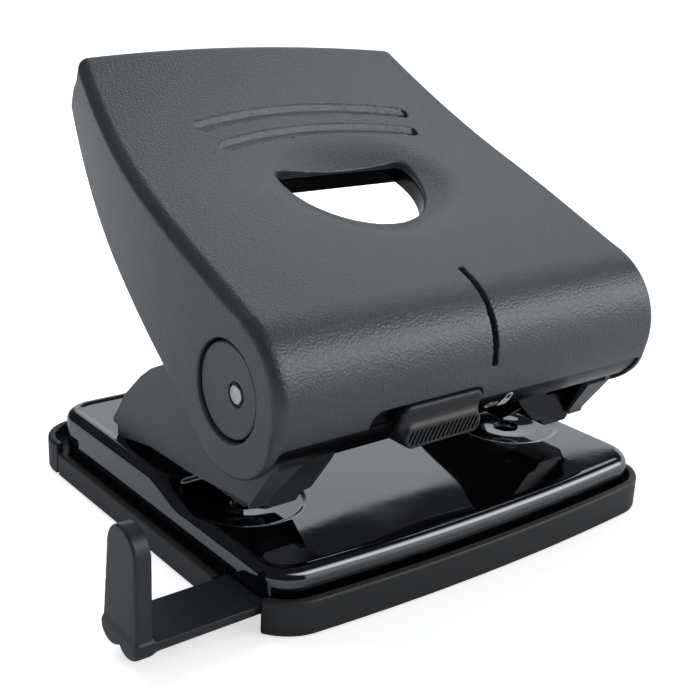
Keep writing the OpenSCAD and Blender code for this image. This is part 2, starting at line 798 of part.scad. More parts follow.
module hinge_cap() {
    color([0.36, 0.38, 0.4])
    difference() {
        bar_x(arm_out, lever_w / 2, roll_y, roll_z, cap_r);
        bar_x(arm_out - 1, lever_w / 2 + 1, rod_y, rod_z, rod_r + run);
        bar_x(lever_w / 2 - 0.9, lever_w / 2 + 1, rod_y, rod_z, rod_r + 0.4);
    }
}

module hinge_cap_left() {
    side(-1) hinge_cap();
}

module hinge_cap_right() {
    side(1) hinge_cap();
}

module lock_slider() {
    gx0 = lock_x0 + 1;
    gx1 = lock_x1 - 0.4;
    gz0 = roll_z - 13.5;
    gh = 4.4;
    color([0.3, 0.31, 0.33])
    difference() {
        union() {
            // curved face in the notch of the handle
            roll_cut(lock_x0, lock_x1, 194, lip_a + 0.3, 0.2, 1.8);
            roll_cut(lock_x0, lock_x1, lip_a - 1.5, lip_a + 8, -0.6, 0.3);
            // grip with round ends
            intersection() {
                along_y(-31.6, -20) union() {
                    translate([gx0 + gh / 2, gz0 + gh / 2]) circle(r = gh / 2);
                    translate([gx1 - gh / 2, gz0 + gh / 2]) circle(r = gh / 2);
                    translate([gx0 + gh / 2, gz0]) square([gx1 - gx0 - gh, gh]);
                }
                along_x(-40, 20) polygon(concat(
                    [for (i = [0:6]) roll_pt(200 + 28 * i / 6, 0.1)],
                    [[roll_y - 14.3, roll_z - 15.3], [roll_y - 20.3, roll_z - 15.3],
                     [roll_y - 20.3, roll_z - 6.3]]));
            }
            // neck through the slot and keeper behind it
            roll_cut(lock_x0 + 8.6, lock_x0 + 16.4, lip_a + 2.6, lip_a + 8.6, 0, 4.6);
            roll_cut(lock_x0 + 4.6, lock_x0 + 20.4, lip_a - 4, lip_a + 15, 3.8, 5.2);
        }
        // slanted grip ribs
        for (i = [0:13]) translate([gx0 + 2.5 + i * 1.2, -31.6, gz0 + gh / 2]) rotate([0, 28, 0])
            cube([0.6, 1, gh - 1.4], center = true);
    }
}

base_plate();
die_left();
die_right();
chip_tray();
rear_rail();
tray_hinge_pins();
paper_guide();
cheek_left();
cheek_right();
punch_frame_left();
punch_frame_right();
pin_bush_left();
pin_bush_right();
punch_pin_left();
punch_pin_right();
pin_washer_left();
pin_washer_right();
spring_left();
spring_right();
head_rivets();
hinge_rod();
rod_clips();
lever_frame();
press_yoke();
yoke_rivets();
handle_cover();
hinge_cap_left();
hinge_cap_right();
lock_slider();
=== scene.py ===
import bpy, bmesh, math
import numpy as np
from mathutils import Matrix, Vector


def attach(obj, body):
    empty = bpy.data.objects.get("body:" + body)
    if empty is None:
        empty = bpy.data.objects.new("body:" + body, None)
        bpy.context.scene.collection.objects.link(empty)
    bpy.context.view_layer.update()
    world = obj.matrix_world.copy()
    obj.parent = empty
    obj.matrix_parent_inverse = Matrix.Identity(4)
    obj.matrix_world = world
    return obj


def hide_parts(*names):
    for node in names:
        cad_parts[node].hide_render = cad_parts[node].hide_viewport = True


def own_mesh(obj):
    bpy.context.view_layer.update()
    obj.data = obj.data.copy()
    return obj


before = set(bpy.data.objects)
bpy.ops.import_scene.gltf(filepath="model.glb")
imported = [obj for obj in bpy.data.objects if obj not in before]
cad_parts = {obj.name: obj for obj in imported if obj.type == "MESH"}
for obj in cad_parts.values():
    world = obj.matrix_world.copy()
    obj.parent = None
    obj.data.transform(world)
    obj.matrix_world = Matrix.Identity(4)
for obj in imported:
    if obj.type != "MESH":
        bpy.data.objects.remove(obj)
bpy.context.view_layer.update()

MM = 0.001
COARSE = 1.0     # grid step of the meshes, against the full one
scene = bpy.context.scene
scene.view_settings.view_transform = "Standard"


# ---------------------------------------------------------------- distance fields, in mm
def both(a, b, r=0.0):
    """What two fields share, with the edge between them rounded to radius r."""
    inner = np.minimum(-r, np.maximum(a, b))
    return inner + np.hypot(np.maximum(a + r, 0), np.maximum(b + r, 0))


def either(a, b, r=0.0):
    """Two fields joined, with a fillet of radius r."""
    return -both(-a, -b, r)


def less(a, b, r=0.0):
    """The first field without the second, with its edge rounded to radius r."""
    return both(a, -b, r)


def melt(a, b, k):
    """The first field without the second, where they meet at a shallow angle: a soft edge."""
    return np.maximum(a, -b) + np.maximum(k - np.abs(a + b), 0) ** 2 / (4 * k)


def slab(v, lo, hi):
    """What lies between two planes."""
    return np.maximum(lo - v, v - hi)


def block(x, y, z, lo, hi, r=0.0):
    """A box between two corners, with its edges rounded."""
    return both(both(slab(x, lo[0], hi[0]), slab(y, lo[1], hi[1]), r), slab(z, lo[2], hi[2]), r)


def smooth(t):
    """A soft step from 0 to 1."""
    t = np.clip(t, 0, 1)
    return t * t * (3 - 2 * t)


# ---------------------------------------------------------------- fields to meshes
def slope(field, p, e=0.02):
    """Gradient of a field at points, by central differences."""
    g = np.empty_like(p)
    for i in range(3):
        d = np.zeros(3)
        d[i] = e
        g[:, i] = (field(*(p + d).T) - field(*(p - d).T)) / (2 * e)
    return g


def settle(field, p, rounds=3):
    """Points pulled onto the zero surface of a field."""
    for _ in range(rounds):
        g = slope(field, p)
        f = field(*p.T)
        n2 = np.maximum((g * g).sum(1), 0.05)
        move = -(f / n2)[:, None] * g
        size = np.linalg.norm(move, axis=1, keepdims=True)
        p = p + move * np.minimum(1, 0.5 / np.maximum(size, 1e-9))
    return p


def net(field, lo, hi, step):
    """Surface net of a field in a box: points and quads."""
    n = [int(math.ceil((b - a) / step)) + 1 for a, b in zip(lo, hi)]
    axes = [lo[i] + step * np.arange(n[i]) for i in range(3)]
    f = field(axes[0][:, None, None], axes[1][None, :, None], axes[2][None, None, :])
    f = np.broadcast_to(f, n).astype(np.float32)
    solid = f < 0
    count = np.zeros([k - 1 for k in n], np.int8)
    for i in (0, 1):
        for j in (0, 1):
            for k in (0, 1):
                count += solid[i:n[0] - 1 + i, j:n[1] - 1 + j, k:n[2] - 1 + k]
    active = (count > 0) & (count < 8)
    cells = np.argwhere(active)
    index = np.full(active.shape, -1, np.int32)
    index[active] = np.arange(len(cells))
    total = np.zeros((len(cells), 3))
    hits = np.zeros(len(cells))
    for axis in range(3):
        u, v = (axis + 1) % 3, (axis + 2) % 3
        for p in (0, 1):
            for q in (0, 1):
                a = cells.copy()
                a[:, u] += p
                a[:, v] += q
                b = a.copy()
                b[:, axis] += 1
                fa, fb = f[tuple(a.T)], f[tuple(b.T)]
                cross = (fa < 0) != (fb < 0)
                at = a[cross].astype(float)
                at[:, axis] += fa[cross] / (fa[cross] - fb[cross])
                total[cross] += at
                hits[cross] += 1
    points = np.array(lo) + step * total / hits[:, None]
    quads = []
    for axis in range(3):
        u, v = (axis + 1) % 3, (axis + 2) % 3
        here = [slice(None)] * 3
        there = [slice(None)] * 3
        here[axis], there[axis] = slice(0, -1), slice(1, None)
        s0, s1 = solid[tuple(here)], solid[tuple(there)]
        for first, second, turned in ((s0, s1, False), (s1, s0, True)):
            g = np.argwhere(first & ~second)
            g = g[(g[:, u] > 0) & (g[:, v] > 0) & (g[:, u] < n[u] - 1) & (g[:, v] < n[v] - 1)]
            ring = []
            for du, dv in ((1, 1), (0, 1), (0, 0), (1, 0)):
                c = g.copy()
                c[:, u] -= du
                c[:, v] -= dv
                ring.append(index[tuple(c.T)])
            quads.append(np.array(ring[::-1] if turned else ring).T)
    return points, np.concatenate(quads)


def new_mesh(name, points, faces):
    """Mesh from points in mm and an array of faces with the same number of corners."""
    me = bpy.data.meshes.new(name)
    corners = faces.shape[1]
    me.vertices.add(len(points))
    me.vertices.foreach_set("co", (points * MM).astype(np.float32).ravel())
    me.loops.add(faces.size)
    me.loops.foreach_set("vertex_index", faces.astype(np.int32).ravel())
    me.polygons.add(len(faces))
    me.polygons.foreach_set("loop_start", np.arange(0, faces.size, corners, dtype=np.int32))
    me.polygons.foreach_set("loop_total", np.full(len(faces), corners, np.int32))
    me.update(calc_edges=True)
    me.validate()
    return me


def link(name, me):
    """Object in the scene with that mesh."""
    o = bpy.data.objects.new(name, me)
    scene.collection.objects.link(o)
    return o


def evaluated(o):
    """A copy of an object's mesh with its modifiers applied."""
    graph = bpy.context.evaluated_depsgraph_get()
    graph.update()
    return bpy.data.meshes.new_from_object(o.evaluated_get(graph))


def cast(name, field, lo, hi, step, faces=60000, flip=False):
    """Object whose surface is the zero surface of a field, with the field's own normals."""
    points, quads = net(field, lo, hi, step * COARSE)
    points = settle(field, points)
    o = link(name, new_mesh(name, points, quads))
    if len(quads) * 2 > faces:
        thin = o.modifiers.new("thin", "DECIMATE")
        thin.ratio = faces / (len(quads) * 2)
        me = evaluated(o)
        o.modifiers.clear()
        old, o.data = o.data, me
        bpy.data.meshes.remove(old)
    me = o.data
    p = np.empty(len(me.vertices) * 3, np.float32)
    me.vertices.foreach_get("co", p)
    p = settle(field, p.reshape(-1, 3).astype(float) / MM, 2)
    g = slope(field, p)
    g /= np.maximum(np.linalg.norm(g, axis=1, keepdims=True), 1e-9)
    if flip:
        p[:, 0] *= -1
        g[:, 0] *= -1
        me.flip_normals()
    me.vertices.foreach_set("co", (p * MM).astype(np.float32).ravel())
    me.update()
    me.polygons.foreach_set("use_smooth", np.ones(len(me.polygons), bool))
    me.normals_split_custom_set_from_vertices(g.tolist())
    return o


def dress(piece, body, slot, material, *nodes):
    """The piece rides on a body, takes a material, and stands for CAD nodes; the slot argument is not
    used.
    """
    piece.data.materials.clear()
    piece.data.materials.append(material)
    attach(piece, body)
    if nodes:
        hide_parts(*nodes)
    return piece


# ---------------------------------------------------------------- materials
def recipe(name, colour, rough, metal=0.0, ior=1.5):
    """Material with a Principled shader and object coordinates to build on."""
    mat = bpy.data.materials.new(name)
    mat.use_nodes = True
    tree = mat.node_tree
    bsdf = tree.nodes["Principled BSDF"]
    bsdf.inputs["Base Color"].default_value = (*colour, 1)
    bsdf.inputs["Roughness"].default_value = rough
    bsdf.inputs["Metallic"].default_value = metal
    bsdf.inputs["IOR"].default_value = ior
    place = tree.nodes.new("ShaderNodeTexCoord")
    return mat, tree, bsdf, place.outputs["Object"]


def noise(tree, where, scale, detail=2.0, stretch=None):
    """Noise of that many cells to the metre, from 0 to 1."""
    if stretch:
        mapping = tree.nodes.new("ShaderNodeMapping")
        mapping.inputs["Scale"].default_value = stretch
        tree.links.new(where, mapping.inputs["Vector"])
        where = mapping.outputs["Vector"]
    node = tree.nodes.new("ShaderNodeTexNoise")
    node.inputs["Scale"].default_value = scale
    node.inputs["Detail"].default_value = detail
    tree.links.new(where, node.inputs["Vector"])
    return node.outputs["Fac"]


def spread(tree, value, lo, hi, low=0.35, high=0.65):
    """A 0 to 1 value mapped so that low gives lo and high gives hi."""
    node = tree.nodes.new("ShaderNodeMapRange")
    for key, number in (("From Min", low), ("From Max", high), ("To Min", lo), ("To Max", hi)):
        node.inputs[key].default_value = number
    tree.links.new(value, node.inputs["Value"])
    return node.outputs["Result"]


def tint(tree, factor, one, two):
    """A colour between two, by factor."""
    node = tree.nodes.new("ShaderNodeMix")
    node.data_type = "RGBA"
    node.inputs["A"].default_value = (*one, 1)
    node.inputs["B"].default_value = (*two, 1)
    tree.links.new(factor, node.inputs["Factor"])
    return node.outputs["Result"]


def calc(tree, operation, *values):
    """A sum of sockets and numbers."""
    node = tree.nodes.new("ShaderNodeMath")
    node.operation = operation
    for socket, value in zip(node.inputs, values):
        if isinstance(value, float):
            socket.default_value = value
        else:
            tree.links.new(value, socket)
    return node.outputs[0]


def relief(tree, bsdf, height, strength, depth):
    """Bump from a height."""
    node = tree.nodes.new("ShaderNodeBump")
    node.inputs["Strength"].default_value = strength
    node.inputs["Distance"].default_value = depth
    tree.links.new(height, node.inputs["Height"])
    tree.links.new(node.outputs["Normal"], bsdf.inputs["Normal"])


def moulded(name, colour, rough, grain, strength, depth=0.00006, ior=1.5):
    """Grained plastic: a fine leathery relief, uneven gloss and colour."""
    mat, tree, bsdf, where = recipe(name, colour, rough, ior=ior)
    fine = noise(tree, where, grain, 3.0)
    broad = noise(tree, where, 45, 3.0)
    relief(tree, bsdf, fine, strength, depth)
    light = [c * 1.22 for c in colour]
    dark = [c * 0.86 for c in colour]
    speck = spread(tree, fine, 0, 1, 0.3, 0.7)
    body = tree.nodes.new("ShaderNodeMix")
    body.data_type = "RGBA"
    tree.links.new(spread(tree, broad, 0, 1, 0.3, 0.7), body.inputs["Factor"])
    tree.links.new(tint(tree, speck, dark, colour), body.inputs["A"])
    tree.links.new(tint(tree, speck, colour, light), body.inputs["B"])
    tree.links.new(body.outputs["Result"], bsdf.inputs["Base Color"])
    uneven = spread(tree, broad, rough - 0.01, rough + 0.03, 0.2, 0.8)
    tree.links.new(uneven, bsdf.inputs["Roughness"])
    return mat


def enamel(name, colour, rough, ripple=0.03, ior=1.5):
    """Stoved paint: smooth with a faint orange peel and a few soft rubs."""
    mat, tree, bsdf, where = recipe(name, colour, rough, ior=ior)
    relief(tree, bsdf, noise(tree, where, 260, 1.0), ripple, 0.0002)
    bsdf.inputs["Specular Tint"].default_value = (0.9, 0.95, 1.0, 1)
    rub = noise(tree, where, 70, 5.0)
    tree.links.new(spread(tree, rub, rough, rough + 0.04, 0.45, 0.75), bsdf.inputs["Roughness"])
    pale = [c * 1.4 + 0.002 for c in colour]
    shade = tint(tree, spread(tree, rub, 0, 1, 0.4, 0.8), colour, pale)
    tree.links.new(shade, bsdf.inputs["Base Color"])
    return mat


def steel(name, colour, rough):
    """Bright steel with fine turning marks and slight tarnish."""
    mat, tree, bsdf, where = recipe(name, colour, rough, metal=1.0)
    marks = noise(tree, where, 500, 2.0, (1.0, 1.0, 9.0))
    relief(tree, bsdf, marks, 0.12, 0.00004)
    cloud = noise(tree, where, 160, 4.0)
    tree.links.new(spread(tree, cloud, rough - 0.06, rough + 0.1), bsdf.inputs["Roughness"])
    shade = tint(tree, spread(tree, cloud, 0, 1), colour, [c * 0.78 for c in colour])
    tree.links.new(shade, bsdf.inputs["Base Color"])
    return mat


def ink(name, colour):
    """Thin print, a little uneven."""
    mat, tree, bsdf, where = recipe(name, colour, 0.55)
    shade = spread(tree, noise(tree, where, 900, 2.0), 0, 1, 0.2, 0.5)
    shade = tint(tree, shade, [c * 0.85 for c in colour], colour)
    tree.links.new(shade, bsdf.inputs["Base Color"])
    return mat


HANDLE = moulded("handle_plastic", (0.04, 0.0485, 0.056), 0.32, 1900, 1.0, 0.00016, 1.62)
SLIDER = moulded("slider_plastic", (0.013, 0.0145, 0.017), 0.4, 1900, 0.5)
TRAY = moulded("tray_plastic", (0.0135, 0.015, 0.0165), 0.5, 2200, 0.3)
GUIDE = moulded("guide_plastic", (0.018, 0.021, 0.025), 0.42, 2400, 0.25)
BLACK = enamel("gloss_black_steel", (0.002, 0.002, 0.0028), 0.025, 0.012, 2.1)
FRAME = enamel("black_frame", (0.003, 0.003, 0.0035), 0.25, 0.03, 1.36)
SATIN = enamel("satin_grey", (0.06, 0.067, 0.074), 0.38, 0.05)
STEEL = steel("bare_steel", (0.62, 0.62, 0.63), 0.27)
INK = ink("print", (0.82, 0.83, 0.84))

# ---------------------------------------------------------------- sizes of the part, in mm
# base: the tray's skirt, the pressed steel table and the rail behind it
BASE_W, BASE_FRONT, BASE_REAR, CORNER = 115.0, 37.5, 71.0, 11.0
BOW, SKIRT_H, SIDE_H, SKIRT_T = 3.0, 7.8, 6.2, 1.8
DECK_H, DECK_STEP, DECK_ROLL, SHEET = 13.0, 2.8, 2.9, 1.2
WALL_IN, REAR_IN, LEDGE_Z, SPLIT_Y, RAIL_H = 3.0, 7.3, 4.6, 57.5, 8.2
PIN_X, STOP_Y, DISH_R, DISH_DEPTH = 40.0, 12.0, 12.8, 0.6
REAR_Z, HEAD_Z = DECK_H + DECK_STEP, 18.0
DIE_HOLE, RIVET_R, RIVET_Y = 3.0, 1.6, (20, 32)
# tray hinge under the rail, and the four clips for the guide bar
HINGE_OUT, HINGE_Z, EAR_R, EAR_PIN = 3.1, 2.9, 2.4, 1.5
EAR_X0, EAR_X1, TRAY_GAP, FLOOR_T = 38, 46, 0.4, 1.4
CLIP_X, CLIP_W, CLIP_T = (-44, -18, 8, 34), 8, 2.2
# lever cover: a roll round the hinge rod, and a sloping top that curls up at its end
ROD_Y, ROD_Z, ROD_R = -16.5, 45.4, 2.06
ROLL_Y, ROLL_Z, ROLL_R = -13.7, 45.3, 17.8
SLOPE, CURL_Y, CURL_K, HANDLE_END = 0.4, 20.0, 0.0034, 63.5
END_BOW, END_HALF = 2.0, 43.0
TAN_A = math.pi / 2 + math.atan(SLOPE)
TAN_Y, TAN_Z = ROLL_Y + ROLL_R * math.cos(TAN_A), ROLL_Z + ROLL_R * math.sin(TAN_A)
COVER_T, HALF_W, TAPER = 2.0, 54.3, 0.00195
LIP_A = math.radians(205.4)
CAP_R, CAP_IN, CAP_SUNK, CAP_GAP = 9.9, 51.7, 0.55, 0.54
CAP_SINK_R, CAP_SINK = 2.5, 1.1
# finger window, the dish round it, and the grip grooves behind it
WIN_X, WIN_Y, WIN_R, WIN_FLAT = 0.6, 20.6, 19.8, 3.0
DISH_IN, DISH_X, DISH_RUN, DISH_SLOPE, DISH_BEND = 2.6, 2.7, 2.885, 0.3275, 6.0
RIM_W, RIM_T, RIM_TOP = 3.5, 0.8, 4.6
GROOVE_HALF, GROOVE_DEPTH, GROOVE_LEAN = 1.6, 1.25, 0.55
GROOVES = ((35.9, 27.6, 122), (42.9, 30, 137))      # middle y, half length, radius in plan
GROOVE_HOLES, GROOVE_HOLE_R = ((29.6, 32.9), (32.2, 39.8)), 0.8
# slot down the roll, notch for the lock: angles round the roll in degrees
SLOT_MID, SLOT_HALF, SLOT_LEAN = 1.4, 0.75, math.tan(math.radians(6.5))
SLOT_TURN, SLOT_SPAN, NOTCH_TURN, NOTCH_END = 138.75, 40.25, 192.4, 225
# paper guide
BAR_Y0, BAR_Y1, BAR_TOP, BAR_LOW = -28.6, -15.4, 6.0, 2.5
GUIDE_X, GUIDE_LEN, GUIDE_TOP, GUIDE_T = -82.3, 100.0, 28.4, 3.6
LOBE_R, HEAD_R, BLADE_LEAN = 3.9, 5.4, (18.5, 2.4)
# lock slider, with its ribbed grip
LOCK_X0, LOCK_X1, LOCK_TRAVEL = -23.5, -1.5, 7.0
GRIP_H, GRIP_Y, GRIP_BELOW = 2.3, -31.6, 13.5
RIB_Y, RIB_GAP, RIB_HALF, RIB_LEAN = -31.0, 1.2, 0.27, math.tan(math.radians(28))
# return springs
COIL_R, WIRE_R, COIL_Z, COIL_H, COIL_TURNS = 5.5, 0.55, HEAD_Z + 1.6, 18.7, 7


# ---------------------------------------------------------------- handle
def top_z(y):
    """Height of the top of the handle."""
    return TAN_Z + SLOPE * (y - TAN_Y) + CURL_K * np.maximum(y - CURL_Y, 0) ** 2


def over_top(y, z):
    """Height above the top of the handle, square to it."""
    m = SLOPE + 2 * CURL_K * np.maximum(y - CURL_Y, 0)
    return (z - top_z(y)) / np.sqrt(1 + m * m)


def low_z(y):
    """Height of the lower edge of the handle's sides."""
    return ROD_Z - 9.6 + 0.635 * y + 0.0055 * np.maximum(y - 35, 0) ** 2


def half_w(y):
    """Half the width of the handle, which narrows to the rear."""
    return HALF_W - TAPER * np.maximum(y, 0) ** 2


def on_top(x, y, z):
    """Coordinates in the sloping plane of the finger window."""
    t = math.atan(SLOPE)
    z0 = float(top_z(WIN_Y - 6)) + 6 * SLOPE
    return (x - WIN_X, (y - WIN_Y) * math.cos(t) + (z - z0) * math.sin(t),
            (z - z0) * math.cos(t) - (y - WIN_Y) * math.sin(t))


def opening(u, v, k, r=3.0):
    """Outline of the finger window: a circle with a straight rear edge."""
    return both(np.hypot(u, v) - WIN_R - k, v - WIN_FLAT - k, r)


def groove(x, y, up, mid_y, half, r):
    """Grip groove across the top, curved in plan, with round ends."""
    gx, gy = x - WIN_X - 2, y - mid_y + r
    turn = np.arctan2(gx, gy)
    end = math.asin(half / r)
    tip = np.hypot(np.abs(gx) - half, gy - r * math.cos(end))
    across = np.hypot(gx, gy) - r
    line = np.where(np.abs(turn) < end, np.abs(across), tip) - GROOVE_HALF
    walls = np.maximum(line, (across - GROOVE_HALF - GROOVE_LEAN * up) / 1.14)
    return both(walls, -(up + GROOVE_DEPTH), 0.4)


def round_roll(y, z):
    """Radius and angle about the middle of the roll."""
    dy, dz = y - ROLL_Y, z - ROLL_Z
    return np.hypot(dy, dz), np.arctan2(dz, dy) % (2 * math.pi)


def cover(x, y, z):
    """Lever cover: rolled front, curved top, finger window, hollow underneath."""
    r, turn = round_roll(y, z)
    side = np.abs(x) - half_w(y)
    up = over_top(y, z)
    behind = -(math.sin(TAN_A) * (y - ROLL_Y) - math.cos(TAN_A) * (z - ROLL_Z))
    end_y = HANDLE_END + 1.0 - END_BOW * (x / END_HALF) ** 2
    m = SLOPE + 2 * CURL_K * (HANDLE_END - CURL_Y)
    rear = (y - end_y) + m * (z - top_z(HANDLE_END) - m * (end_y - HANDLE_END))
    rear = rear / math.hypot(1, m)
    low = (low_z(y) - z) / 1.2
    wedge = np.maximum(both(both(up, rear, 1.8), low, 0.8), behind)
    fillet = 2.5 * smooth((46 - z) / 6) * (y > ROLL_Y)
    profile = either(r - ROLL_R, wedge, fillet)
    high = smooth((z - np.maximum(low_z(y) + 7, 34)) / 7)
    outer = both(side, profile, 0.8 + 1.9 * high)
    # soft dish round the window and the grip grooves
    u, v, w = on_top(x, y, z)
    rise = DISH_IN + w
    run = DISH_RUN * rise
    dish = both((np.hypot(u - DISH_X, v) - (WIN_R - 1.8 + run)) * DISH_SLOPE,
                (v - (WIN_FLAT + run)) * DISH_SLOPE, DISH_BEND)
    outer = melt(outer, np.maximum(dish, -rise), 1.1)
    cuts = np.minimum(groove(x, y, up, *GROOVES[0]), groove(x, y, up, *GROOVES[1]))
    (ax, ay), (bx, by) = GROOVE_HOLES
    hole = np.minimum(np.hypot(x - ax, y - ay), np.hypot(x - bx, y - by)) - GROOVE_HOLE_R
    cuts = np.minimum(cuts, both(hole, -(up + 1.6), 0.2))
    outer = less(outer, cuts, 0.3)
    # hollow, less the rim under the window
    lip = -(-math.sin(LIP_A) * (y - ROLL_Y) + math.cos(LIP_A) * (z - ROLL_Z))
    inside = np.minimum(np.minimum(r - ROLL_R + COVER_T, np.maximum(up + COVER_T, behind)), lip)
    hollow = both(side + COVER_T, both(inside, rear + COVER_T, 1.0), 1.4)
    rim = np.maximum(opening(u - 1.5, v - 1, RIM_W), -w - DISH_IN - RIM_T)
    shell = less(outer, np.maximum(hollow, -np.maximum(rim, w - RIM_TOP)), 0.45)
    shell = less(shell, np.maximum(opening(u, v, 0), np.abs(w) - 12), 0.35)
    # slot down the roll, notch for the lock, holes for the caps
    lean_x = np.abs(x - WIN_X - SLOT_MID - SLOT_LEAN * (z - 54)) - SLOT_HALF
    arc = np.abs(turn - math.radians(SLOT_TURN)) * ROLL_R - math.radians(SLOT_SPAN) * ROLL_R
    shell = less(shell, np.maximum(both(lean_x, arc, 0.5), 8 - r), 0.2)
    notch = both(slab(x, LOCK_X0 - LOCK_TRAVEL - 0.6, LOCK_X1 + 0.6),
                 (math.radians(NOTCH_TURN) - turn) * ROLL_R, 2.6)
    notch = np.maximum(notch, np.maximum((turn - math.radians(NOTCH_END)) * ROLL_R, 12 - r))
    shell = less(shell, notch, 0.3)
    return less(shell, np.maximum(r - CAP_R - CAP_GAP, 48 - np.abs(x)), 0.35)


def cap(x, y, z):
    """Round side cap on the end of the hinge rod."""
    r, _ = round_roll(y, z)
    disc = both(r - CAP_R, slab(x, CAP_IN, HALF_W - CAP_SUNK), 0.5)
    rod = np.hypot(y - ROD_Y, z - ROD_Z)
    disc = less(disc, both(rod - CAP_SINK_R, HALF_W - CAP_SINK - x, 0.15), 0.25)
    return less(disc, rod - ROD_R)


def lock(x, y, z):
    """Slider: curved face in the notch, ribbed grip, neck and keeper."""
    r, turn = round_roll(y, z)
    arc = turn * ROLL_R
    gx0, gx1, gz = LOCK_X0 + 0.6, LOCK_X1 - 0.4, ROLL_Z - GRIP_BELOW + GRIP_H

    def bend(lo, hi):
        """Between two angles of the roll, in degrees."""
        return slab(arc, ROLL_R * math.radians(lo), ROLL_R * math.radians(hi))

    face = both(slab(x, LOCK_X0, LOCK_X1), bend(193, 214), 2.2)
    face = both(face, slab(r, ROLL_R - 1.8, ROLL_R + 0.9), 0.9)
    line = np.abs(x - (gx0 + gx1) / 2) - (gx1 - gx0) / 2 + GRIP_H
    rounds = np.hypot(np.maximum(line, 0), z - gz) - GRIP_H
    pill = both(rounds, slab(y, GRIP_Y, -24), 0.5)
    pill = np.maximum(pill, ROLL_R - 0.9 - r)
    body = either(face, pill, 2.2)
    across = (x - gx0) - RIB_LEAN * (z - gz)
    ribs = np.abs((across + RIB_GAP / 2) % RIB_GAP - RIB_GAP / 2) - RIB_HALF
    body = less(body, np.maximum(np.maximum(ribs, rounds + 0.75), y - RIB_Y), 0.1)
    neck = np.maximum(slab(x, LOCK_X0 + 8.6, LOCK_X0 + 16.4), slab(r, ROLL_R - 4.6, ROLL_R - 0.4))
    neck = np.maximum(neck, bend(208, 214))
    keep = np.maximum(slab(x, LOCK_X0 + 4.6, LOCK_X0 + 20.4), slab(r, ROLL_R - 5.2, ROLL_R - 3.8))
    keep = both(keep, bend(201.4, 220.4), 0.3)
    return np.minimum(body, np.minimum(neck, keep))


# ---------------------------------------------------------------- base
def outline(x, y, d, rear):
    """Plan of the base moved in by d: bowed front, round corners, straight rear."""
    bend = (BASE_W / 2) ** 2 / (2 * BOW)
    front = np.hypot(x, y - (bend - BASE_FRONT)) - (bend - d)
    r = CORNER - d
    ahead = both(np.abs(x) - BASE_W / 2 + d, front, r)
    return np.where(y < 10, ahead, both(np.abs(x) - BASE_W / 2 + d, y - rear, r))


def plate(x, y, z):
    """Pressed steel base: low paper table, raised rear, rolled edge, two dishes."""
    u = np.abs(x) - PIN_X
    away = np.hypot(u, y)
    z = z + DISH_DEPTH * smooth((DISH_R + 0.8 - away) / 1.6) * smooth((STOP_Y - 0.4 - y) / 1.2)
    plan = outline(x, y, WALL_IN, BASE_REAR - REAR_IN)
    # the step is crisp on the table and spreads to a soft bend at the rolled edge
    flank = smooth((plan + 6.5) / 5.0)
    ramp = STOP_Y - y + flank * (0.9 * (z - DECK_H) - 1.2)
    raised = both(z - REAR_Z, ramp / np.hypot(1, 0.9 * flank), 1.3 + 2.2 * flank)
    step = either(z - DECK_H, raised, 1.2 + 4 * flank)
    inner_step = both(z - REAR_Z + SHEET, STOP_Y + SHEET - y, 0.4)
    inner_step = either(z - DECK_H + SHEET, inner_step, 1.6)
    funnel = 0.55 * smooth((8.5 - away) / 6)
    outer = both(plan, np.maximum(step, step + funnel), DECK_ROLL)
    inner = both(plan + SHEET, inner_step, DECK_ROLL - SHEET)
    shell = less(outer, inner, 0.15)
    shell = both(shell, LEDGE_Z + 0.2 - z, 0.2)
    shell = less(shell, away - DIE_HOLE, 0.25)
    near = np.minimum(np.abs(y - RIVET_Y[0]), np.abs(y - RIVET_Y[1]))
    shell = less(shell, np.hypot(u, near) - RIVET_R)
    gate = np.maximum(x + BASE_W / 2 - 10, slab(y, BAR_Y0 - 1, BAR_Y1 + 1))
    return less(shell, np.maximum(gate, z - BAR_TOP - 0.9), 0.3)


